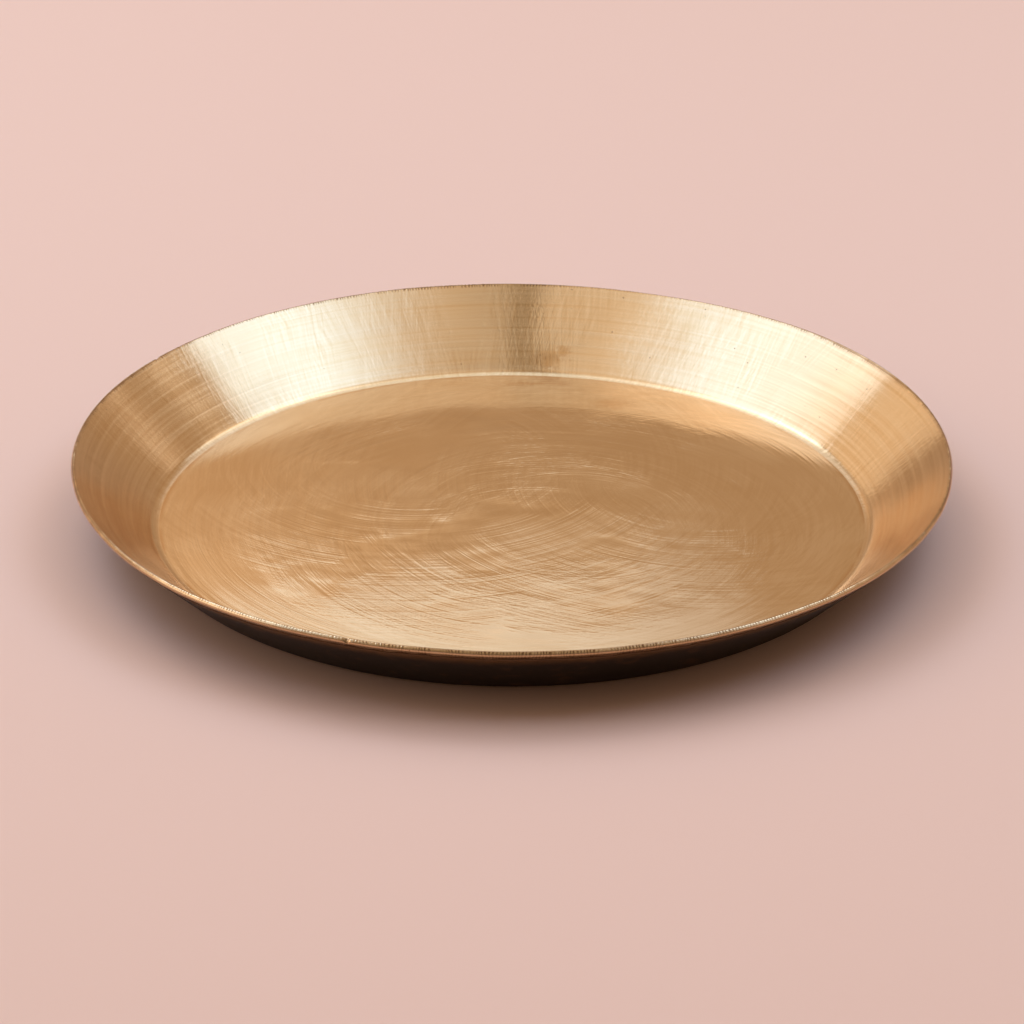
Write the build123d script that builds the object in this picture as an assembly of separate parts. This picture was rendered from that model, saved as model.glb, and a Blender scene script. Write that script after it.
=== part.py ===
from build123d import *
import math
import os

# Driving dimensions of the plate, in millimetres and degrees.
rim_diameter = 305.0  # across the outermost edge of the rim
plate_height = 26.2  # from the table to the highest edge of the rim
wall_angle = 42.0  # slope of the flared wall, measured from level
sheet_thickness = 1.9  # beaten sheet, alike in floor and wall
cove_radius = 5.0  # inside bend from the floor to the wall
floor_crown = 1.0  # how far the middle of the floor stands above its edge
heel_width = 9.0  # flat ring beside the bend that the plate stands on
rim_bevel = 0.3  # scraped bevel along the inner edge of the rim
rim_rounding = 0.9  # worn outer edge of the rim

# Dark fire scale that is left on the outside of the bronze.
scale_thickness = 0.12  # crust on top of the sheet
scale_gap = 0.03  # clearance between the crust and the bronze under it
bare_rim_width = 3.0  # strip under the rim that is scraped bare
worn_height = 0.3  # the scale is rubbed off wherever the bronze comes this near to the table

# Directions in the half section: X is the distance from the axis and Y is the height.
slope = math.radians(wall_angle)
up_wall = Vector(math.cos(slope), math.sin(slope))
out_of_wall = Vector(math.sin(slope), -math.cos(slope))
level = (1, 0)
straight_down = -90.0  # where the bend leaves the floor, as an angle on its circle

# Sharp corners of the rim, before the bevel and the rounding take them off.
rounding_loss = rim_rounding * (math.cos(slope) + math.sin(slope) - 1)
bevel_loss = rim_bevel * min(math.cos(slope), math.sin(slope))
rim_inner = Vector(
    rim_diameter / 2 + rounding_loss - sheet_thickness * math.sin(slope),
    plate_height + bevel_loss,
)
rim_outer = rim_inner + out_of_wall * sheet_thickness

# The bend is tangent to the floor and to the wall, and its centre is shared by both faces of the sheet.
bend_height = sheet_thickness + cove_radius
wall_run = (cove_radius + (rim_inner.Y - bend_height) * math.cos(slope)) / math.sin(slope)
floor_radius = rim_inner.X - wall_run
bend_centre = Vector(floor_radius, bend_height)
outer_bend_radius = cove_radius + sheet_thickness
heel_radius = floor_radius - heel_width

# The underside of the floor is a shallow dome, centred on the axis.
dome_radius = (heel_radius**2 + floor_crown**2) / (2 * floor_crown)
dome_centre = Vector(0, floor_crown - dome_radius)

# Distances of the two faces of the crust from the face of the bronze.
crust_inside = scale_gap
crust_outside = scale_gap + scale_thickness


def turned(*section):
    return revolve(Plane.XZ * make_face(section), Axis.Z)


def forged_plate():
    """Floor, bend, wall and rim, beaten from one piece of bronze."""
    outer_bend = CenterArc(bend_centre, outer_bend_radius, straight_down, wall_angle)
    cove = CenterArc(bend_centre, cove_radius, straight_down, wall_angle)
    rounding_centre = rim_outer - (up_wall + out_of_wall) * rim_rounding
    rim_edge = CenterArc(rounding_centre, rim_rounding, straight_down + wall_angle, 90)
    land_end = rim_inner + out_of_wall * rim_bevel
    bevel_end = rim_inner - up_wall * rim_bevel
    floor_edge = Vector(floor_radius, sheet_thickness)
    floor_middle = Vector(0, sheet_thickness + floor_crown)
    underside_middle = Vector(0, floor_crown)
    heel_edge = Vector(heel_radius, 0)
    return turned(
        TangentArc(underside_middle, heel_edge, tangent=level),
        Line(heel_edge, outer_bend @ 0),
        outer_bend,
        Line(outer_bend @ 1, rim_edge @ 0),
        rim_edge,
        Line(rim_edge @ 1, land_end),
        Line(land_end, bevel_end),
        Line(bevel_end, cove @ 1),
        cove,
        TangentArc(floor_middle, floor_edge, tangent=level),
        Line(floor_middle, underside_middle),
    )


def scale_on_wall():
    """Scale from the bare strip under the rim down round the bend, to where the table rubs it off."""
    worn_angle = math.degrees(math.acos(1 - worn_height / outer_bend_radius))
    start = straight_down + worn_angle
    span = wall_angle - worn_angle
    inner_bend = CenterArc(bend_centre, outer_bend_radius + crust_inside, start, span)
    outer_bend = CenterArc(bend_centre, outer_bend_radius + crust_outside, start, span)
    top = rim_outer - up_wall * bare_rim_width
    top_inner = top + out_of_wall * crust_inside
    top_outer = top + out_of_wall * crust_outside
    return turned(
        inner_bend,
        Line(inner_bend @ 1, top_inner),
        Line(top_inner, top_outer),
        Line(top_outer, outer_bend @ 1),
        outer_bend,
        Line(outer_bend @ 0, inner_bend @ 0),
    )


def scale_under_base():
    """Scale under the domed floor, out to where the table rubs it off."""
    worn_angle = math.acos(1 - (floor_crown - worn_height) / dome_radius)
    toward_edge = Vector(math.sin(worn_angle), math.cos(worn_angle))
    edge_inner = dome_centre + toward_edge * (dome_radius - crust_inside)
    edge_outer = dome_centre + toward_edge * (dome_radius - crust_outside)
    middle_inner = Vector(0, floor_crown - crust_inside)
    middle_outer = Vector(0, floor_crown - crust_outside)
    return turned(
        TangentArc(middle_inner, edge_inner, tangent=level),
        Line(edge_inner, edge_outer),
        TangentArc(middle_outer, edge_outer, tangent=level),
        Line(middle_outer, middle_inner),
    )


os.makedirs("parts", exist_ok=True)
export_step(forged_plate(), "parts/bronze_plate.step")
export_step(scale_on_wall(), "parts/wall_scale.step")
export_step(scale_under_base(), "parts/base_scale.step")

print(f"Floor inside the cove: {2 * floor_radius:.1f} mm across")
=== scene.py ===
import math

import bpy
import numpy as np
from mathutils import Matrix, Vector


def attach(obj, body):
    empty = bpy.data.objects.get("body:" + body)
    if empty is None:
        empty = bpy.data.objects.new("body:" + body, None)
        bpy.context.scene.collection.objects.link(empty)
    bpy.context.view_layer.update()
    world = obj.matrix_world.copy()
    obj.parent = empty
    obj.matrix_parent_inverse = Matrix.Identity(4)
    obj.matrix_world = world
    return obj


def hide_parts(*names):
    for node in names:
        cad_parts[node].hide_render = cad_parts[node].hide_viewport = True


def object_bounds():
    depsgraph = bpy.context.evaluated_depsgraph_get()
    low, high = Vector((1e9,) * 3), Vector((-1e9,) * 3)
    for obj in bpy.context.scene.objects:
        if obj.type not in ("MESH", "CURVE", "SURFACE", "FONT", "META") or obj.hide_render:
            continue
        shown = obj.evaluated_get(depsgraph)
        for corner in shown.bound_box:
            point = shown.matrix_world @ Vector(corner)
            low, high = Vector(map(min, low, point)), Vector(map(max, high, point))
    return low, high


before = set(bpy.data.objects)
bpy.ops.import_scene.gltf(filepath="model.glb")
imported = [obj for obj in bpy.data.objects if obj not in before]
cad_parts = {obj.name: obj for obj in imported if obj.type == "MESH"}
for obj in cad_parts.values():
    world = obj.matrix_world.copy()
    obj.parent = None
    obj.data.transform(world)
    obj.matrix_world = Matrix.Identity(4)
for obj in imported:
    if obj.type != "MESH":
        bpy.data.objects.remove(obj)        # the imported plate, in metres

cadLow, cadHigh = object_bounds()
millimetre = 0.001
micrometre = 0.001 * millimetre
fullTurn = 2 * math.pi
print("frame loaded:", ", ".join(sorted(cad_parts)))


def hexColour(text):
    # sRGB hex to linear, with alpha
    parts = [int(text[i:i + 2], 16) / 255 for i in (1, 3, 5)]
    return tuple(c / 12.92 if c <= 0.04045 else ((c + 0.055) / 1.055) ** 2.4 for c in parts) + (1.0,)


def addNode(tree, kind, settings=None):
    # a setting goes to a property by its name, or to an input by its name or number;
    # a node or a socket is linked to that input
    node = tree.nodes.new("ShaderNode" + kind)
    for key, value in (settings or {}).items():
        if isinstance(value, bpy.types.Node):
            tree.links.new(value.outputs[0], node.inputs[key])
        elif isinstance(value, bpy.types.NodeSocket):
            tree.links.new(value, node.inputs[key])
        elif isinstance(key, str) and hasattr(node, key):
            setattr(node, key, value)
        else:
            node.inputs[key].default_value = value
    return node


def newMaterial(name):
    material = bpy.data.materials.new(name)
    material.use_nodes = True
    material.node_tree.nodes.clear()
    return material, material.node_tree


# The plate's half section. Rim size and height come from the frame.
plateForm = {
    "sheet": 1.9 * millimetre,
    "wallSlope": math.radians(42.0),
    "coveRadius": 5.0 * millimetre,
    "floorCrown": 1.0 * millimetre,    # how far the middle of the floor stands above its edge
    "heelWidth": 9.0 * millimetre,     # flat ring that the plate stands on
    "rimBevel": 0.3 * millimetre,
    "rimRounding": 0.9 * millimetre,
    "crustGap": 0.03 * millimetre,
    "crust": 0.12 * millimetre,
    "bareRim": 3.0 * millimetre,       # strip below the rim that has no crust
    "wornHeight": 0.3 * millimetre,    # nor has bronze that comes this near to the table
}
rimRadius = cadHigh.x
plateHeight = cadHigh.z
slopeCos = math.cos(plateForm["wallSlope"])
slopeSin = math.sin(plateForm["wallSlope"])
upWall = np.array([slopeCos, slopeSin])
outOfWall = np.array([slopeSin, -slopeCos])
rimInner = np.array([
    rimRadius + plateForm["rimRounding"] * (slopeCos + slopeSin - 1) - plateForm["sheet"] * slopeSin,
    plateHeight + plateForm["rimBevel"] * min(slopeCos, slopeSin),
])
rimOuter = rimInner + outOfWall * plateForm["sheet"]
bendHeight = plateForm["sheet"] + plateForm["coveRadius"]
wallRun = (plateForm["coveRadius"] + (rimInner[1] - bendHeight) * slopeCos) / slopeSin
floorRadius = rimInner[0] - wallRun
bendCentre = np.array([floorRadius, bendHeight])
heelRadius = floorRadius - plateForm["heelWidth"]
outerBend = plateForm["coveRadius"] + plateForm["sheet"]
bendEnd = bendCentre + outOfWall * outerBend
crustNear = plateForm["crustGap"]
crustFar = crustNear + plateForm["crust"]
baseReach = heelRadius * math.sqrt(1 - plateForm["wornHeight"] / plateForm["floorCrown"])


def runOf(start, end, count):
    # points of a straight stretch, without its last point
    return [start + (end - start) * i / count for i in range(count)]


def bendOf(centre, radius, first, last, count):
    # points of an arc, angles from straight down, without its last point
    turns = [first + (last - first) * i / count for i in range(count)]
    return [centre + radius * np.array([math.sin(a), -math.cos(a)]) for a in turns]


def domeOf(reach, base, rise, radii):
    # points of the shallow floor dome at the given radii
    return [np.array([r, base + rise * (1 - (r / reach) ** 2)]) for r in radii]


# What the hand leaves: hammer waves, a rim that isn't quite round or level, chatter from the scraper, nicks,
# and crusts whose edges wander. Orders are waves in a full turn: the fewest, the most, and how many add up.
handwork = {
    "seed": 11,
    "waves": 34,
    "waveLength": (24 * millimetre, 52 * millimetre),
    "floorWave": 0.010 * millimetre,
    "floorFade": 30 * millimetre,      # the waves of the floor die out over this, up to the heel
    "wallWave": 0.055 * millimetre,
    "wallFade": (0.1, 0.5),            # and those of the wall start and are full at these shares of its run
    "rimOrders": (2, 6, 5),
    "rimLift": 0.14 * millimetre,
    "rimPush": 0.20 * millimetre,
    "chatterPitch": 1.4 * millimetre,
    "chatterSpread": (0.75, 1.2),      # shares of the order that the pitch gives
    "chatterParts": 9,
    "chatterDepth": 0.085 * millimetre,
    "chatterReach": 0.8 * millimetre,
    "chatterInside": 0.5,              # share of the sheet, from its inner face, that the chatter cuts
    "spellOrders": (3, 16, 7),
    "spellLevel": 0.45,                # the chatter comes and goes about this share of its depth
    "spellSwing": 0.6,
    "spellMost": 1.4,
    "nicks": (    # angle round the rim in degrees, width, depth
        (147.0, 1.6 * millimetre, 0.45 * millimetre),
        (-110.6, 1.9 * millimetre, 0.50 * millimetre),
        (-24.0, 1.0 * millimetre, 0.25 * millimetre),
    ),
    "crustOrders": (20, 150, 16),
    "crustFade": (0.55, 1.0),          # shares of the wall's run
    "crustWander": 0.3 * millimetre,
    "footOrders": (4, 30, 12),
    "footWander": 0.4 * millimetre,
    "baseOrders": (3, 24, 12),
    "baseFade": 0.7,                   # share of the base crust's reach where the wandering starts
    "baseWander": 1.0 * millimetre,
}
chance = np.random.default_rng(handwork["seed"])
waveAim = chance.normal(size=(handwork["waves"], 3))
waveAim /= np.linalg.norm(waveAim, axis=1)[:, None]
waveTurns = fullTurn / chance.uniform(*handwork["waveLength"], handwork["waves"])
wavePhase = chance.uniform(0, fullTurn, handwork["waves"])


def ripple(fewest, most, count):
    # a random wave round the plate, of whole turns so that it closes on itself
    orders = np.round(chance.uniform(fewest, most, count))
    phases = chance.uniform(0, fullTurn, count)
    return lambda angle: sum(np.cos(o * angle + p) for o, p in zip(orders, phases)) / math.sqrt(count / 2)


chatterOrder = fullTurn * rimRadius / handwork["chatterPitch"]
chatterOrders = [share * chatterOrder for share in handwork["chatterSpread"]]
rimLift = ripple(*handwork["rimOrders"])
rimPush = ripple(*handwork["rimOrders"])
rimChatter = ripple(*chatterOrders, handwork["chatterParts"])
chatterSpells = ripple(*handwork["spellOrders"])
crustEdge = ripple(*handwork["crustOrders"])
footEdge = ripple(*handwork["footOrders"])
baseEdge = ripple(*handwork["baseOrders"])


def hammerWaves(points):
    total = np.zeros(len(points))
    for aim, turns, phase in zip(waveAim, waveTurns, wavePhase):
        total += np.cos(points @ aim * turns + phase)
    return total / math.sqrt(handwork["waves"] / 2)


def smooth(low, high, value):
    t = np.clip((value - low) / (high - low), 0, 1)
    return t * t * (3 - 2 * t)


def polar(points):
    # distance from the axis, and angle round it
    return np.hypot(points[:, 0], points[:, 1]), np.arctan2(points[:, 1], points[:, 0])


def ringPlaces(radius, angle, height):
    return np.stack([radius * np.cos(angle), radius * np.sin(angle), height], axis=1)


def handBeaten(points):
    # moves true lathe points to where the hammer left them; the heel stays on the table
    radius, angle = polar(points)
    climb = np.maximum((radius - floorRadius) / (rimRadius - floorRadius), 0)
    floorWave = handwork["floorWave"] * (1 - smooth(heelRadius - handwork["floorFade"], heelRadius, radius))
    wallWave = handwork["wallWave"] * smooth(*handwork["wallFade"], climb)
    waves = hammerWaves(points)
    push = climb ** 2 * handwork["rimPush"] * rimPush(angle) - waves * wallWave * slopeSin
    lift = climb ** 2 * handwork["rimLift"] * rimLift(angle) + waves * (floorWave + wallWave * slopeCos)
    return ringPlaces(radius + push, angle, points[:, 2] + lift)


def downWall(points, distance):
    # moves points down the slope of the wall
    radius, angle = polar(points)
    return ringPlaces(radius - distance * slopeCos, angle, points[:, 2] - distance * slopeSin)


def chatteredRim(points):
    # the scraper skips along the cut edge in spells, and a few knocks have left deeper nicks
    radius, angle = polar(points)
    belowRim = (rimInner[0] - radius) * slopeCos + (rimInner[1] - points[:, 2]) * slopeSin
    aside = (radius - rimInner[0]) * slopeSin - (points[:, 2] - rimInner[1]) * slopeCos
    inside = 1 - smooth(0.0, handwork["chatterInside"] * plateForm["sheet"], aside)
    nearEdge = 1 - smooth(0.0, handwork["chatterReach"], belowRim)
    spell = handwork["spellLevel"] + handwork["spellSwing"] * chatterSpells(angle)
    cut = np.clip(spell, 0, handwork["spellMost"]) * np.maximum(rimChatter(angle), 0)
    notch = handwork["chatterDepth"] * cut * inside * nearEdge
    for degrees, width, depth in handwork["nicks"]:
        turn = np.angle(np.exp(1j * (angle - math.radians(degrees))))
        notch += depth * np.exp(-(turn * rimRadius / (0.5 * width)) ** 2) * nearEdge
    return downWall(points, notch)


def raggedCrust(points):
    # the upper edge of the crust wanders where the rim was scraped bare
    radius, angle = polar(points)
    share = smooth(*handwork["crustFade"], (radius - floorRadius) / (rimOuter[0] - floorRadius))
    return downWall(points, share * handwork["crustWander"] * crustEdge(angle))


def raggedFoot(points):
    # its lower edge wanders along the bend, where the table rubs it off
    radius, angle = polar(points)
    outward = radius - bendCentre[0]
    drop = bendCentre[1] - points[:, 2]
    turn = np.arctan2(outward, drop)
    share = 1 - smooth(0.0, plateForm["wallSlope"], turn)
    turn = turn + share * handwork["footWander"] / outerBend * footEdge(angle)
    arm = np.hypot(outward, drop)
    return ringPlaces(bendCentre[0] + arm * np.sin(turn), angle, bendCentre[1] - arm * np.cos(turn))


def raggedBase(points):
    # and so does the edge of the crust under the base, along the dome
    radius, angle = polar(points)
    share = smooth(handwork["baseFade"] * baseReach, baseReach, radius)
    reach = radius + share * handwork["baseWander"] * baseEdge(angle)
    fall = plateForm["floorCrown"] * (reach ** 2 - radius ** 2) / heelRadius ** 2
    return ringPlaces(reach, angle, points[:, 2] - fall)


def lathe(name, section, steps, closed):
    # section points (radius, height) turned round Z; closed joins the last ring to the first,
    # otherwise the ends are centre points on the axis
    turns = fullTurn * np.arange(steps) / steps
    rings = section if closed else section[1:-1]
    points = np.concatenate([ringPlaces(r, turns, np.full(steps, z)) for r, z in rings])
    here = np.arange(steps)
    ahead = (here + 1) % steps
    ringCount = len(rings)
    faces = []
    for i in range(ringCount if closed else ringCount - 1):
        a = i * steps
        b = ((i + 1) % ringCount) * steps
        faces.extend(np.stack([a + here, b + here, b + ahead, a + ahead], axis=1).tolist())
    if not closed:
        first, last = len(points), len(points) + 1
        points = np.concatenate([points, [[0, 0, section[0][1]], [0, 0, section[-1][1]]]])
        b = (ringCount - 1) * steps
        faces.extend([first, int(i), int(j)] for i, j in zip(here, ahead))
        faces.extend([b + int(j), b + int(i), last] for i, j in zip(here, ahead))
    mesh = bpy.data.meshes.new(name)
    mesh.from_pydata(points.tolist(), [], faces)
    mesh.polygons.foreach_set("use_smooth", [True] * len(mesh.polygons))
    piece = bpy.data.objects.new(name, mesh)
    bpy.context.scene.collection.objects.link(piece)
    return piece


def reshape(piece, *moves):
    flat = np.empty(len(piece.data.vertices) * 3)
    piece.data.vertices.foreach_get("co", flat)
    points = flat.reshape(-1, 3)
    for move in moves:
        points = move(points)
    piece.data.vertices.foreach_set("co", points.ravel())
    piece.data.update()


# The forged plate: floor, cove, wall, rim, outside and underside in one closed skin.
# Counts are the steps round it and along each stretch of its section.
plateMesh = {
    "steps": 2880, "floor": 20, "cove": 8, "wall": 22, "bevel": 3, "land": 3, "rounding": 6,
    "outside": 10, "bend": 6, "heel": 3, "underside": 10,
    "crispRun": 0.1 * millimetre,    # last short step of the wall, which keeps the edge of the bevel crisp
}


def forgedPlate():
    count = plateMesh
    sheet, bevel, rounding = (plateForm[key] for key in ("sheet", "rimBevel", "rimRounding"))
    slope = plateForm["wallSlope"]
    coveEnd = bendCentre + outOfWall * plateForm["coveRadius"]
    bevelLow = rimInner - upWall * bevel
    bevelHigh = rimInner + outOfWall * bevel
    wallEnd = bevelLow - upWall * count["crispRun"]
    roundingCentre = rimOuter - (upWall + outOfWall) * rounding
    roundingStart = slope + math.pi / 2
    heelOuter = np.array([floorRadius, 0.0])
    heelInner = np.array([heelRadius, 0.0])
    floorRadii = np.linspace(0, floorRadius, count["floor"], endpoint=False)
    undersideRadii = np.linspace(heelRadius, 0, count["underside"])
    section = domeOf(floorRadius, sheet, plateForm["floorCrown"], floorRadii)
    section += bendOf(bendCentre, plateForm["coveRadius"], 0, slope, count["cove"])
    section += runOf(coveEnd, wallEnd, count["wall"])
    section += runOf(wallEnd, bevelLow, 1)
    section += runOf(bevelLow, bevelHigh, count["bevel"])
    section += runOf(bevelHigh, rimOuter - outOfWall * rounding, count["land"])
    section += bendOf(roundingCentre, rounding, roundingStart, slope, count["rounding"])
    section += runOf(rimOuter - upWall * rounding, bendEnd, count["outside"])
    section += bendOf(bendCentre, outerBend, slope, 0, count["bend"])
    section += runOf(heelOuter, heelInner, count["heel"])
    section += domeOf(heelRadius, 0.0, plateForm["floorCrown"], undersideRadii)
    piece = lathe("scraped_plate", section, count["steps"], closed=False)
    reshape(piece, chatteredRim, handBeaten)
    return piece


# The crusts: thin closed skins, one on the outside of the wall and the bend, one under the base.
crustMesh = {"steps": 1440, "wall": 16, "bend": 6, "base": 18}


def crustOnWall():
    count = crustMesh
    slope = plateForm["wallSlope"]
    top = rimOuter - upWall * plateForm["bareRim"]
    worn = math.acos(1 - plateForm["wornHeight"] / outerBend)
    section = runOf(top + outOfWall * crustFar, bendEnd + outOfWall * crustFar, count["wall"])
    section += bendOf(bendCentre, outerBend + crustFar, slope, worn, count["bend"])
    section += bendOf(bendCentre, outerBend + crustFar, worn, 0, 1)
    section += bendOf(bendCentre, outerBend + crustNear, worn, slope, count["bend"])
    section += runOf(bendEnd + outOfWall * crustNear, top + outOfWall * crustNear, count["wall"])
    section.append(top + outOfWall * crustNear)
    piece = lathe("wall_crust", section, count["steps"], closed=True)
    reshape(piece, raggedCrust, raggedFoot, handBeaten)
    return piece


def crustUnderBase():
    rise = plateForm["floorCrown"]
    radii = np.linspace(0, baseReach, crustMesh["base"])
    section = domeOf(heelRadius, -crustNear, rise, radii)
    section += domeOf(heelRadius, -crustFar, rise, radii[::-1])
    piece = lathe("base_crust", section, crustMesh["steps"], closed=False)
    reshape(piece, raggedBase, handBeaten)
    return piece


# Marks of the hand tools. All of them are noise in polar form, so that they run round or across the plate.
plateAxis = (0.0, 0.0)
markCircle = 100 * millimetre      # marks have their named size on a circle of this radius
noiseMean = 0.5
noiseLow, noiseHigh = 0.35, 0.65   # most of a noise lies between these
factor, under, over, mixed = 0, 6, 7, 2    # sockets of a Mix node that is set to colours


def aroundCentre(tree, spot, centre):
    # the level offset of a place from a centre, and its length
    shifted = addNode(tree, "VectorMath", {"operation": "SUBTRACT", 0: spot, 1: (*centre, 0.0)})
    flat = addNode(tree, "VectorMath", {"operation": "MULTIPLY", 0: shifted, 1: (1.0, 1.0, 0.0)})
    return flat, addNode(tree, "VectorMath", {"operation": "LENGTH", 0: flat}).outputs["Value"]


def marksRound(tree, spot, around, outward, centre=plateAxis, lean=0.0, detail=2.0):
    # cells are "around" wide on the mark circle and "outward" deep; lean slants them from the radius
    flat, reach = aroundCentre(tree, spot, centre)
    heading = addNode(tree, "VectorMath", {"operation": "NORMALIZE", 0: flat})
    slant = addNode(tree, "Math", {"operation": "MULTIPLY", 0: reach, 1: lean / rimRadius})
    turned = addNode(tree, "VectorRotate", {"rotation_type": "Z_AXIS", "Vector": heading, "Angle": slant})
    circle = addNode(tree, "VectorMath", {"operation": "SCALE", 0: turned, "Scale": markCircle / around})
    depth = addNode(tree, "Math", {"operation": "MULTIPLY", 0: reach, 1: 1 / outward})
    lift = addNode(tree, "CombineXYZ", {"Z": depth})
    place = addNode(tree, "VectorMath", {"operation": "ADD", 0: circle, 1: lift})
    return addNode(tree, "TexNoise", {"Vector": place, "Scale": 1.0, "Detail": detail, "Roughness": 0.55})


def patches(tree, spot, size, level, seed):
    # soft-edged areas about "size" across; a higher level leaves fewer of them
    softness = 0.06
    moved = addNode(tree, "VectorMath", {"operation": "ADD", 0: spot, 1: (seed, seed, seed)})
    cloud = addNode(tree, "TexNoise", {"Vector": moved, "Scale": 1 / size, "Detail": 2.0})
    return addNode(tree, "MapRange", {
        "interpolation_type": "SMOOTHSTEP", "Value": cloud,
        "From Min": level - softness, "From Max": level + softness,
    })


def folded(tree, operation, parts):
    # takes masks, heights or numbers together, two by two
    result = parts[0]
    for part in parts[1:]:
        result = addNode(tree, "Math", {"operation": operation, 0: result, 1: part})
    return result


def awayFrom(tree, value, place):
    # how far a value lies from a place, on either side of it
    offset = addNode(tree, "Math", {"operation": "SUBTRACT", 0: value, 1: place})
    return addNode(tree, "Math", {"operation": "ABSOLUTE", 0: offset})


def relief(tree, layers):
    # bump from layers of marks, each with its masks and its height in micrometres
    heights = folded(tree, "ADD", [folded(tree, "MULTIPLY", layer) for layer in layers])
    return addNode(tree, "Bump", {"Strength": 1.0, "Distance": micrometre, "Height": heights})


def frayedSpots(tree, spot, places):
    # areas with frayed edges at given places, each with a half width and a half depth
    fraySize = 2.0 * millimetre
    outside, inside = 2.1, 1.1    # distance in half widths, plus twice the fray
    fray = addNode(tree, "TexNoise", {"Vector": spot, "Scale": 1 / fraySize, "Detail": 4.0})
    blots = []
    for x, y, halfWidth, halfDepth in places:
        shifted = addNode(tree, "VectorMath", {"operation": "SUBTRACT", 0: spot, 1: (x, y, 0.0)})
        scaled = addNode(tree, "VectorMath", {
            "operation": "MULTIPLY", 0: shifted, 1: (1 / halfWidth, 1 / halfDepth, 0.0),
        })
        reach = addNode(tree, "VectorMath", {"operation": "LENGTH", 0: scaled}).outputs["Value"]
        blots.append(addNode(tree, "MapRange", {
            "interpolation_type": "SMOOTHSTEP", "Value": folded(tree, "ADD", [reach, fray, fray]),
            "From Min": outside, "From Max": inside,
        }))
    return folded(tree, "MAXIMUM", blots)


def overlaid(tree, tone, layers):
    # lays further tones over the first one, each by its mask
    for mask, colour in layers:
        tone = addNode(tree, "Mix", {
            "data_type": "RGBA", factor: mask, under: tone, over: hexColour(colour),
        }).outputs[mixed]
    return tone


def metalTone(tree, look, marks, layers):
    # gold that is a little deeper between the marks, with other tones over it
    low, high = look["toneRange"]
    contrast = addNode(tree, "MapRange", {"Value": marks, "From Min": low, "From Max": high})
    return overlaid(tree, hexColour(look["deep"]), [(contrast, look["bright"]), *layers])


# Wall of scraped bell metal: bronze of copper and tin, turned bright with a scraper and brushed round.
# All of the plate has this finish, apart from the floor inside the cove.
# The eye sees a pale gold mirror, drawn out across fine lines round the wall and broken by strokes over it.
# Heights are in micrometres. Of a pair of limits, a mark starts at the first and is full at the second.
wallFinish = {
    "bright": "#E6C69F",
    "deep": "#D6AF81",
    "toneRange": (0.2, 0.8),
    # this colour also paints the shade in ticks along the rim
    "speckAndTickShade": "#7A4E2A",
    "blot": "#BE8A50",
    "paintedRimReflection": "#CDAA82",                # painted reflection: a coppery tone on the outer half of the rim, for the lit table that its rounded edge reflects
    "paintedReflectionBand": (0.55, 0.85),         # shares of the sheet, from its inner face
    "rough": 0.195,
    "roughSwing": 0.03,
    "anisotropy": 0.95,
    "grainTurn": 0.25,                # part of a turn from the tangent
    "lineWidth": 0.8 * millimetre,    # real brush lines are about 0.2 mm; drawn coarser so that they show
    "lineLength": 70 * millimetre,
    "lineHeight": 13.0,
    "strokeWidth": 0.65 * millimetre,
    "strokeLength": 15 * millimetre,
    "strokeHeight": 20.0,
    "strokeLeans": (0.30, -0.18),
    "strokeLevel": 0.51,
    "strokeSpells": (    # where the scraper went across the wall again: place, half width and half depth
        (0.003, 0.137, 0.016, 0.022), (0.064, 0.124, 0.038, 0.030), (-0.118, 0.075, 0.024, 0.028),
        (-0.036, 0.134, 0.015, 0.022), (0.136, 0.025, 0.018, 0.030), (-0.135, 0.045, 0.020, 0.026),
    ),
    "strokeTone": 0.8,
    "chatterWidth": 1.3 * millimetre,
    "chatterLength": 5.0 * millimetre,
    "chatterHeight": 40.0,
    "chatterBand": (6.0 * millimetre, 3.0 * millimetre),    # outwards from the edge of the floor
    "chatterLean": 0.1,
    "chatterLevel": 0.52,
    "chatterSeed": 7.0,
    "ringWidth": 5.0 * millimetre,
    "ringLength": 60 * millimetre,
    "ringHeight": -3.0,
    "ringLevel": 0.5,
    "ringSpread": 0.02,
    "scribed": (3.8 * millimetre, 9.0 * millimetre),    # two lines round the wall, up it from the cove
    "scribeWidth": 0.5 * millimetre,
    "scribeHeight": -20.0,
    "patchSize": 26 * millimetre,
    "speckPitch": 5.0 * millimetre,
    "speckSize": (0.34 * millimetre, 0.136 * millimetre),
    "speckShare": 0.4,
    # painted shade: dark ticks along the cut edge stand in for the shaded sides of the scraper chatter
    "tickPitch": 1.1 * millimetre,
    "tickDrift": 4.4 * millimetre,
    "tickWobble": 18.0,
    "tickWave": (-0.6, 0.7),          # levels of the sine that draws them
    "tickGaps": (0.32, 0.55),         # levels of the noise that interrupts them
    "tickReach": (1.1 * millimetre, 0.33 * millimetre),
    "tickDepth": 0.85,
    "bevelToneReach": (0.3 * millimetre, 0.15 * millimetre),    # a darker tone in the bevel of the rim
    "bevelToneDepth": 0.6,
    "stains": ((0.0135, 0.1280, 0.0070, 0.0035), (0.0185, 0.1300, 0.0035, 0.0025)),
    "stainDepth": 0.55,
}


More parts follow.
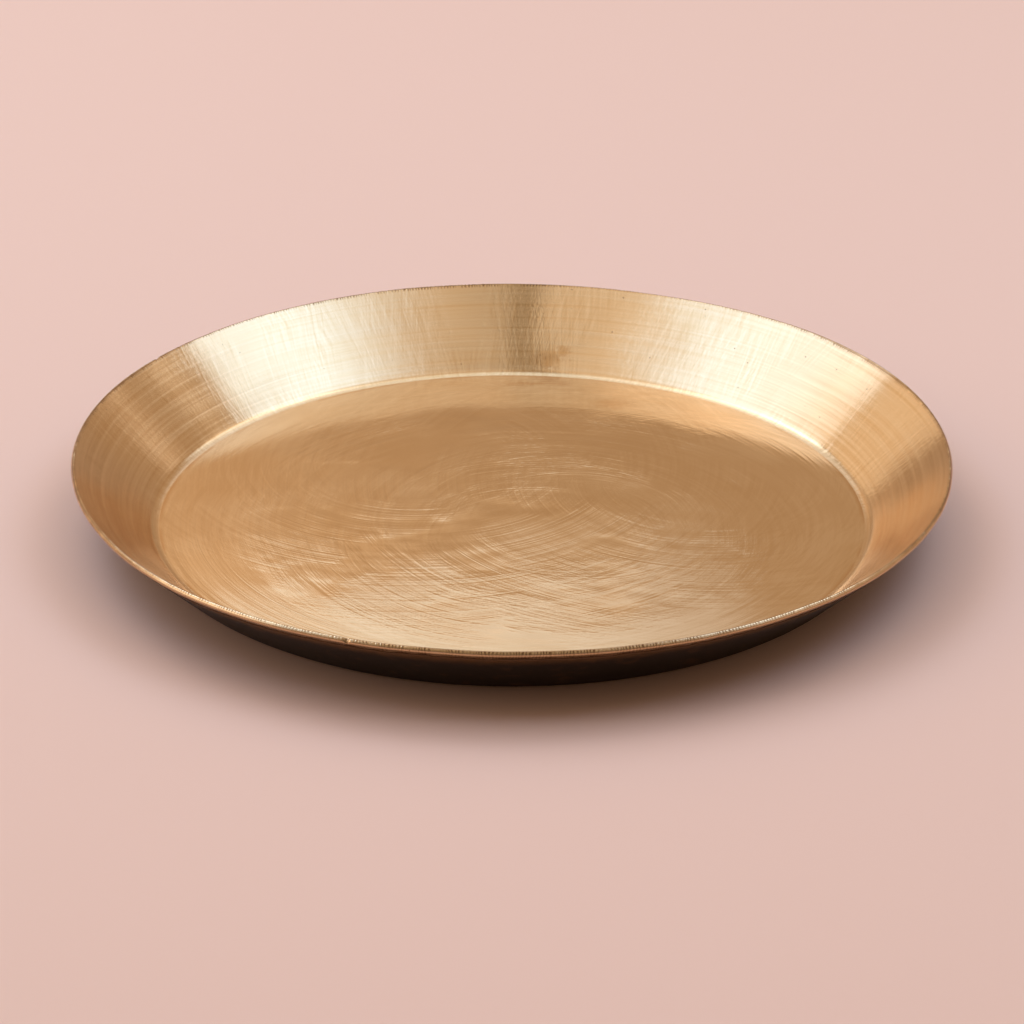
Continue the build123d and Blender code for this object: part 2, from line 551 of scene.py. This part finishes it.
def scrapedWall():
    material, tree = newMaterial("scraped bell metal")
    look = wallFinish
    spot = addNode(tree, "TexCoord").outputs["Object"]
    place = addNode(tree, "SeparateXYZ", {0: spot})
    reach = aroundCentre(tree, spot, plateAxis)[1]

    lines = marksRound(tree, spot, look["lineLength"], look["lineWidth"])
    layers = [(lines, look["lineHeight"])]
    marks = lines
    spells = frayedSpots(tree, spot, look["strokeSpells"])
    for seed, lean in enumerate(look["strokeLeans"]):
        strokes = marksRound(tree, spot, look["strokeWidth"], look["strokeLength"], lean=lean)
        areas = patches(tree, spot, look["patchSize"], look["strokeLevel"], seed)
        mask = folded(tree, "MAXIMUM", [areas, spells])
        layers.append((strokes, mask, look["strokeHeight"]))
        aside = folded(tree, "SUBTRACT", [strokes, noiseMean])
        marks = folded(tree, "ADD", [marks, folded(tree, "MULTIPLY", [aside, mask, look["strokeTone"]])])

    # short cuts just above the cove, and rings where the scraper was set down
    chatter = marksRound(
        tree, spot, look["chatterWidth"], look["chatterLength"], lean=look["chatterLean"], detail=1.0,
    )
    bandStart, bandFull = look["chatterBand"]
    lowBand = addNode(tree, "MapRange", {
        "interpolation_type": "SMOOTHSTEP", "Value": reach,
        "From Min": floorRadius + bandStart, "From Max": floorRadius + bandFull,
    })
    skips = patches(tree, spot, look["patchSize"], look["chatterLevel"], look["chatterSeed"])
    layers.append((chatter, lowBand, skips, look["chatterHeight"]))
    rings = marksRound(tree, spot, look["ringLength"], look["ringWidth"], detail=1.0)
    grooves = addNode(tree, "Math", {
        "operation": "COMPARE", 0: rings, 1: look["ringLevel"], 2: look["ringSpread"],
    })
    layers.append((grooves, look["ringHeight"]))
    for climb in look["scribed"]:
        ringRadius = floorRadius + plateForm["coveRadius"] * slopeSin + climb * slopeCos
        scribe = addNode(tree, "MapRange", {
            "interpolation_type": "SMOOTHSTEP", "Value": awayFrom(tree, reach, ringRadius),
            "From Min": look["scribeWidth"], "From Max": 0.0,
        })
        layers.append((scribe, lines, look["scribeHeight"]))

    # specks that the scraper missed, one cell in a few
    cells = addNode(tree, "TexVoronoi", {"Vector": spot, "Scale": 1 / look["speckPitch"]})
    speckStart, speckFull = (size / look["speckPitch"] for size in look["speckSize"])
    dots = addNode(tree, "MapRange", {
        "Value": cells.outputs["Distance"], "From Min": speckStart, "From Max": speckFull,
    })
    draw = addNode(tree, "SeparateColor", {0: cells.outputs["Color"]})
    few = addNode(tree, "Math", {"operation": "LESS_THAN", 0: draw.outputs[0], 1: look["speckShare"]})
    specks = folded(tree, "MULTIPLY", [dots, few])

    # painted shade in ticks along the cut edge, for the shaded sides of the scraper chatter, and a darker
    # tone in the bevel of the rim
    turn = addNode(tree, "Math", {"operation": "ARCTAN2", 0: place.outputs["Y"], 1: place.outputs["X"]})
    beats = folded(tree, "MULTIPLY", [turn, fullTurn * rimRadius / look["tickPitch"]])
    wobble = addNode(tree, "TexNoise", {"Vector": spot, "Scale": 1 / look["tickDrift"], "Detail": 2.0})
    phase = folded(tree, "ADD", [beats, folded(tree, "MULTIPLY", [wobble, look["tickWobble"]])])
    comb = addNode(tree, "Math", {"operation": "SINE", 0: phase})
    waveStart, waveFull = look["tickWave"]
    teeth = addNode(tree, "MapRange", {
        "interpolation_type": "SMOOTHSTEP", "Value": comb, "From Min": waveStart, "From Max": waveFull,
    })
    gapStart, gapFull = look["tickGaps"]
    ragged = addNode(tree, "MapRange", {"Value": wobble, "From Min": gapStart, "From Max": gapFull})
    fromEdge = awayFrom(tree, reach, rimInner[0])
    atEdge, inBevel = (
        addNode(tree, "MapRange", {
            "interpolation_type": "SMOOTHSTEP", "Value": fromEdge, "From Min": start, "From Max": full,
        })
        for start, full in (look["tickReach"], look["bevelToneReach"])
    )
    tickShade = folded(tree, "MULTIPLY", [teeth, atEdge, ragged, look["tickDepth"]])
    bevelToneAndTickShade = folded(tree, "MAXIMUM", [tickShade, folded(tree, "MULTIPLY", [inBevel, look["bevelToneDepth"]])])

    # how far a point lies from the inner face, through the sheet
    across = folded(tree, "MULTIPLY", [reach, slopeSin])
    drop = folded(tree, "MULTIPLY", [place.outputs["Z"], slopeCos])
    depth = folded(tree, "SUBTRACT", [across, drop, float(rimInner @ outOfWall)])
    # painted reflection: the outer half of the rim gets a coppery tone for the lit table it reflects
    reflectionStart, reflectionFull = (share * plateForm["sheet"] for share in look["paintedReflectionBand"])
    paintedRimReflection = addNode(tree, "MapRange", {
        "interpolation_type": "SMOOTHSTEP", "Value": depth, "From Min": reflectionStart, "From Max": reflectionFull,
    })
    blots = folded(tree, "MULTIPLY", [frayedSpots(tree, spot, look["stains"]), look["stainDepth"]])

    rough = addNode(tree, "MapRange", {
        "Value": lines, "From Min": noiseLow, "From Max": noiseHigh,
        "To Min": look["rough"] - look["roughSwing"], "To Max": look["rough"] + look["roughSwing"],
    })
    tone = metalTone(tree, look, marks, [
        (blots, look["blot"]), (paintedRimReflection, look["paintedRimReflection"]), (specks, look["speckAndTickShade"]), (bevelToneAndTickShade, look["speckAndTickShade"]),
    ])
    skin = addNode(tree, "BsdfPrincipled", {
        "Metallic": 1.0,
        "Anisotropic": look["anisotropy"],
        "Anisotropic Rotation": look["grainTurn"],
        "Base Color": tone,
        "Roughness": rough,
        "Normal": relief(tree, layers),
        "Tangent": addNode(tree, "Tangent", {"direction_type": "RADIAL", "axis": "Z"}),
    })
    addNode(tree, "OutputMaterial", {"Surface": skin})
    return material


# Floor of swirl-brushed bell metal: the same bronze, rubbed in arcs whose centres wander.
# The eye sees a smoother mirror than on the wall, and crossing arcs wherever light meets dark in it.
floorFinish = {
    "bright": "#E3C299",
    "deep": "#DAB68A",
    "toneRange": (0.3, 0.7),
    "blot": "#CB9A62",
    "rough": 0.085,
    "roughSwing": 0.02,
    "arcWidth": 0.9 * millimetre,     # real brush marks are about 0.3 mm; drawn coarser so that they show
    "arcLength": 150 * millimetre,
    "arcHeight": 30.0,
    "arcTone": 0.5,
    "bandWidth": 2.6 * millimetre,
    "bandLength": 80 * millimetre,
    "bandHeight": 27.0,
    "sweepWidth": 7 * millimetre,
    "sweepLength": 120 * millimetre,
    "sweepHeight": 42.0,
    "swirls": (    # centre of each family of arcs
        (0.022, -0.003), (0.008, -0.016), (0.068, 0.030), (-0.034, 0.046),
    ),
    "swirlEye": (22.5 * millimetre, 45 * millimetre),    # from its centre, where a family starts and is full
    "edgeRing": (88 * millimetre, 108 * millimetre),     # from here outwards the brush followed the cove
    "patchSize": 38 * millimetre,
    "patchLevel": 0.47,
    "stains": ((0.036, 0.097, 0.0090, 0.0055), (0.003, 0.1150, 0.0110, 0.0030)),
    "stainDepth": 0.50,
    "coveShadeWidth": 1.8 * millimetre,     # painted shade: a darker line along the edge of the floor at the cove, in stretches
    "coveSize": 30 * millimetre,
    "coveLevel": 0.5,
    "coveSeed": 3.0,
    "coveShadeDepth": 0.6,
}


def brushedFloor():
    material, tree = newMaterial("swirl-brushed bell metal")
    look = floorFinish
    spot = addNode(tree, "TexCoord").outputs["Object"]
    reach = aroundCentre(tree, spot, plateAxis)[1]
    ringStart, ringFull = look["edgeRing"]
    atEdge = addNode(tree, "MapRange", {
        "interpolation_type": "SMOOTHSTEP", "Value": reach, "From Min": ringStart, "From Max": ringFull,
    })
    inside = folded(tree, "SUBTRACT", [1.0, atEdge])
    cloud = addNode(tree, "TexNoise", {"Vector": spot, "Scale": 1 / look["patchSize"], "Detail": 4.0})
    layers = []
    tones = [cloud]
    for kind in ("arc", "band", "sweep"):
        marks = marksRound(tree, spot, look[kind + "Length"], look[kind + "Width"])
        layers.append((marks, atEdge, look[kind + "Height"]))

    eyeStart, eyeFull = look["swirlEye"]
    for seed, centre in enumerate(look["swirls"]):
        fromEye = addNode(tree, "VectorMath", {"operation": "DISTANCE", 0: spot, 1: (*centre, 0.0)})
        clear = addNode(tree, "MapRange", {
            "interpolation_type": "SMOOTHSTEP", "Value": fromEye.outputs["Value"],
            "From Min": eyeStart, "From Max": eyeFull,
        })
        mask = patches(tree, spot, look["patchSize"], look["patchLevel"], seed)
        for kind in ("arc", "band"):
            marks = marksRound(tree, spot, look[kind + "Length"], look[kind + "Width"], centre)
            layers.append((marks, mask, clear, inside, look[kind + "Height"]))
            aside = folded(tree, "SUBTRACT", [marks, noiseMean])
            tones.append(folded(tree, "MULTIPLY", [aside, mask, clear, look["arcTone"]]))
        sweeps = marksRound(tree, spot, look["sweepLength"], look["sweepWidth"], centre, detail=1.0)
        layers.append((sweeps, clear, inside, look["sweepHeight"]))

    blots = folded(tree, "MULTIPLY", [frayedSpots(tree, spot, look["stains"]), look["stainDepth"]])
    # painted shade: a darker line on the floor along the cove
    besideCove = addNode(tree, "MapRange", {
        "interpolation_type": "SMOOTHSTEP", "Value": folded(tree, "SUBTRACT", [floorRadius, reach]),
        "From Min": look["coveShadeWidth"], "From Max": 0.0,
    })
    stretches = patches(tree, spot, look["coveSize"], look["coveLevel"], look["coveSeed"])
    paintedCoveShade = folded(tree, "MULTIPLY", [besideCove, stretches, look["coveShadeDepth"]])
    rough = addNode(tree, "MapRange", {
        "Value": cloud, "From Min": noiseLow, "From Max": noiseHigh,
        "To Min": look["rough"] - look["roughSwing"], "To Max": look["rough"] + look["roughSwing"],
    })
    marks = folded(tree, "ADD", tones)
    skin = addNode(tree, "BsdfPrincipled", {
        "Metallic": 1.0,
        "Base Color": metalTone(tree, look, marks, [(blots, look["blot"]), (paintedCoveShade, look["blot"])]),
        "Roughness": rough,
        "Normal": relief(tree, layers),
    })
    addNode(tree, "OutputMaterial", {"Surface": skin})
    return material


# Fire scale: the black copper oxide that the forge leaves on bronze.
# The eye sees a satin black clouded with brown, browner where it is thin, near the bare rim and at the foot.
fireScale = {
    "black": "#0E0A08",
    "brown": "#231710",
    "thin": "#4A2F1C",
    "rubbed": "#5A3A18",
    "rough": 0.5,
    "specular": 0.3,
    "cloudSize": 18 * millimetre,
    "cloudHeight": 30.0,
    "thinSize": 7 * millimetre,
    "thinLevel": 0.62,
    "thinSeed": 5.0,
    "thinDepth": 0.6,
    "fraySize": 3.0 * millimetre,
    "rubbedBand": (9.0 * millimetre, 3.0 * millimetre),    # below the rim: where brown starts, and is full
    "rubbedFray": 3.0 * millimetre,
    "wornBand": (0.60 * millimetre, 0.25 * millimetre),    # above the table: where wear starts, and is full
    "wornFray": 0.5 * millimetre,
    "wornDepth": 0.8,
}


def forgeFireScale():
    material, tree = newMaterial("forge fire scale")
    look = fireScale
    spot = addNode(tree, "TexCoord").outputs["Object"]
    height = addNode(tree, "SeparateXYZ", {0: spot}).outputs["Z"]
    cloud = addNode(tree, "TexNoise", {"Vector": spot, "Scale": 1 / look["cloudSize"], "Detail": 5.0})
    patchy = patches(tree, spot, look["thinSize"], look["thinLevel"], look["thinSeed"])
    noise = addNode(tree, "TexNoise", {"Vector": spot, "Scale": 1 / look["fraySize"], "Detail": 3.0})
    fray = folded(tree, "SUBTRACT", [noise, noiseMean])
    rubbedBand = [plateHeight - down for down in look["rubbedBand"]]
    rubbed, worn = (
        addNode(tree, "MapRange", {
            "interpolation_type": "SMOOTHSTEP", "From Min": start, "From Max": full,
            "Value": folded(tree, "ADD", [height, folded(tree, "MULTIPLY", [fray, swing])]),
        })
        for (start, full), swing in ((rubbedBand, look["rubbedFray"]), (look["wornBand"], look["wornFray"]))
    )
    crust = overlaid(tree, hexColour(look["black"]), [
        (cloud, look["brown"]),
        (folded(tree, "MULTIPLY", [patchy, look["thinDepth"]]), look["thin"]),
        (rubbed, look["rubbed"]),
        (folded(tree, "MULTIPLY", [worn, look["wornDepth"]]), look["thin"]),
    ])
    skin = addNode(tree, "BsdfPrincipled", {
        "Base Color": crust, "Roughness": look["rough"], "Specular IOR Level": look["specular"],
        "Normal": relief(tree, [(cloud, look["cloudHeight"])]),
    })
    addNode(tree, "OutputMaterial", {"Surface": skin})
    return material


def floorFaces(piece):
    # which faces look up from inside the cove
    faces = piece.data.polygons
    middles, facings = np.empty((2, len(faces) * 3))
    faces.foreach_get("center", middles)
    faces.foreach_get("normal", facings)
    radius = polar(middles.reshape(-1, 3))[0]
    return (radius < floorRadius) & (facings.reshape(-1, 3)[:, 2] > 0)


plate = forgedPlate()
wallCrust = crustOnWall()
baseCrust = crustUnderBase()
print("plate and crusts built:", len(plate.data.vertices), "points in the plate")

wallBronze = scrapedWall()
floorBronze = brushedFloor()
scale = forgeFireScale()
for piece, node, slot, finishes in (
    (plate, "bronze_plate", "scraped_bronze", (wallBronze, floorBronze)),
    (wallCrust, "wall_scale", "fire_scale", (scale,)),
    (baseCrust, "base_scale", "fire_scale", (scale,)),
):
    for finish in finishes:
        piece.data.materials.append(finish)
    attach(piece, "root")
    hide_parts(node)
plate.data.polygons.foreach_set("material_index", floorFaces(plate).astype(np.int32))
print("finishes laid on:", ", ".join(finish.name for finish in (wallBronze, floorBronze, scale)))


# Plain pale floor
stageFloor = {"colour": "#ECC3B0", "half": 8.0, "rough": 0.9}


def paleFloor():
    half = stageFloor["half"]
    corners = [(-half, -half, 0), (half, -half, 0), (half, half, 0), (-half, half, 0)]
    mesh = bpy.data.meshes.new("pale_floor")
    mesh.from_pydata(corners, [], [(0, 1, 2, 3)])
    floor = bpy.data.objects.new("pale_floor", mesh)
    bpy.context.scene.collection.objects.link(floor)
    material, tree = newMaterial("blush plaster board")
    skin = addNode(tree, "BsdfPrincipled", {
        "Base Color": hexColour(stageFloor["colour"]), "Roughness": stageFloor["rough"],
    })
    addNode(tree, "OutputMaterial", {"Surface": skin})
    mesh.materials.append(material)


# Studio: two overhead soft boxes with a narrow gap between them, others behind and at the sides, a dim room.
# A glow is a tint and a strength, even over the box. Each band across it adds light of its own by tint,
# strength, place and reach, where the place runs from 0 at the right edge to 1 at the left one.
# Boxes with no "aim" are aimed at the plate.
white = "#FFFFFF"
warm = "#FFF6E4"
amber = "#FFD7AD"
daylight = "#66B8FF"
skylight = "#BFDDF9"
softBoxes = {
    "right_box": {
        "middle": (0.725, 0.13, 1.2), "aim": (0.725, 0.13, 0.0), "size": (1.45, 1.1), "glow": (white, 0.32),
        "bands": ((warm, 0.42, 0.48, 0.56), (daylight, 2.4, 0.41, 0.46)),
    },
    "left_box": {
        "middle": (-1.01, 0.38, 1.2), "aim": (-1.01, 0.38, 0.0), "size": (1.81, 1.76), "glow": (white, 0.45),
        "bands": ((warm, 0.30, 0.36, 0.45), (daylight, 2.25, 0.43, 0.31)),
    },
    "top_box": {"middle": (0.0, 2.35, 3.23), "size": (4.15, 2.3), "glow": (skylight, 1.25)},
    "back_box": {
        "middle": (-0.45, 1.755, 1.265), "size": (1.4, 0.5), "bands": ((skylight, 1.05, 0.26, 0.45),),
    },
    "back_glow": {"middle": (-0.20, 1.91, 1.0), "size": (0.6, 0.11), "glow": (warm, 0.16)},
    "back_amber": {
        "middle": (-0.35, 1.93, 0.93), "size": (0.9, 0.28), "bands": ((amber, 0.26, 0.62, 0.62),),
    },
    "left_fill": {"middle": (-1.667, 1.555, 0.874), "size": (1.58, 1.1), "glow": (warm, 0.50)},
    "right_fill": {"middle": (1.66, 1.66, 0.80), "size": (0.45, 0.4), "glow": (white, 0.70)},
    "left_key": {"middle": (-3.60, -0.15, 1.6), "size": (2.6, 1.95), "glow": (white, 1.0)},
    "back_left_key": {"middle": (-1.67, 1.86, 2.99), "size": (1.4, 1.7), "glow": (white, 1.0)},
    "back_right_key": {"middle": (1.67, 1.86, 2.99), "size": (1.4, 1.7), "glow": (white, 0.8)},
}


def lit(tint, strength):
    # light of a tint, as a colour
    return (*(strength * part for part in hexColour(tint)[:3]), 1.0)


def softBox(name, box):
    lamp = bpy.data.lights.new(name, "AREA")
    lamp.shape = "RECTANGLE"
    lamp.size, lamp.size_y = box["size"]
    lamp.energy = math.pi * lamp.size * lamp.size_y    # a strength of 1 is then a radiance of 1
    lamp.use_nodes = True
    tree = lamp.node_tree
    tree.nodes.clear()
    across = addNode(tree, "SeparateXYZ", {0: addNode(tree, "NewGeometry").outputs["Parametric"]})
    colour = lit(*box.get("glow", (white, 0.0)))
    for tint, strength, place, reach in box.get("bands", ()):
        band = addNode(tree, "MapRange", {
            "interpolation_type": "SMOOTHSTEP", "Value": awayFrom(tree, across.outputs["X"], place),
            "From Min": reach, "From Max": 0.0,
        })
        colour = addNode(tree, "Mix", {
            "data_type": "RGBA", "blend_type": "ADD", factor: band, under: colour, over: lit(tint, strength),
        }).outputs[mixed]
    addNode(tree, "OutputLight", {"Surface": addNode(tree, "Emission", {"Color": colour, "Strength": 1.0})})
    piece = bpy.data.objects.new(name, lamp)
    piece.location = box["middle"]
    facing = Vector(box["middle"]) - Vector(box.get("aim", (0.0, 0.0, 0.0)))
    piece.rotation_euler = facing.to_track_quat("Z", "Y").to_euler()
    piece.visible_camera = False
    bpy.context.scene.collection.objects.link(piece)


# Heights and depths in the room are parts of a direction of length 1.
room = {
    "horizon": "#AA927E",
    "low": "#C5AB8E",
    "lowAt": 0.4,
    "high": "#B8AA96",
    "highBand": (0.45, 0.85),
    "front": 0.27,                # strength towards the front, where 1 is that of the rest
    "frontBand": (-0.9, -0.3),
}


def studioRoom():
    world = bpy.data.worlds.new("studio_room")
    bpy.context.scene.world = world
    world.use_nodes = True
    tree = world.node_tree
    tree.nodes.clear()
    way = addNode(tree, "SeparateXYZ", {0: addNode(tree, "TexCoord").outputs["Generated"]})
    rise = addNode(tree, "MapRange", {"Value": way.outputs["Z"], "From Max": room["lowAt"]})
    highStart, highFull = room["highBand"]
    climb = addNode(tree, "MapRange", {
        "Value": way.outputs["Z"], "From Min": highStart, "From Max": highFull,
    })
    frontFull, frontEnd = room["frontBand"]
    level = addNode(tree, "MapRange", {
        "Value": way.outputs["Y"], "From Min": frontFull, "From Max": frontEnd,
        "To Min": room["front"], "To Max": 1.0,
    })
    tone = overlaid(tree, hexColour(room["horizon"]), [(rise, room["low"]), (climb, room["high"])])
    sky = addNode(tree, "Background", {"Color": tone, "Strength": level})
    addNode(tree, "OutputWorld", {"Surface": sky})


# Camera at the photograph's angle: a long lens that looks down over the rim, with hardly any roll
photoView = {
    "elevation": 25.41,
    "distance": 2.086,
    "aimHeight": 0.0046,
    "roll": 0.14,
    "lens": 210.94,
    "sensor": 36.0,
}


def photoCamera():
    data = bpy.data.cameras.new("photo_camera")
    data.sensor_width = photoView["sensor"]
    data.lens = photoView["lens"]
    camera = bpy.data.objects.new("photo_camera", data)
    tilt = math.radians(photoView["elevation"])
    camera.location = Vector((0, -math.cos(tilt), math.sin(tilt))) * photoView["distance"]
    look = Vector((0, 0, photoView["aimHeight"])) - camera.location
    roll = Matrix.Rotation(math.radians(photoView["roll"]), 3, "Z")
    camera.rotation_euler = (look.to_track_quat("-Z", "Y").to_matrix() @ roll).to_euler()
    bpy.context.scene.collection.objects.link(camera)
    bpy.context.scene.camera = camera


paleFloor()
for name, box in softBoxes.items():
    softBox(name, box)
studioRoom()
photoCamera()
bpy.context.scene.view_settings.view_transform = "Standard"
print("stage, light and camera set")
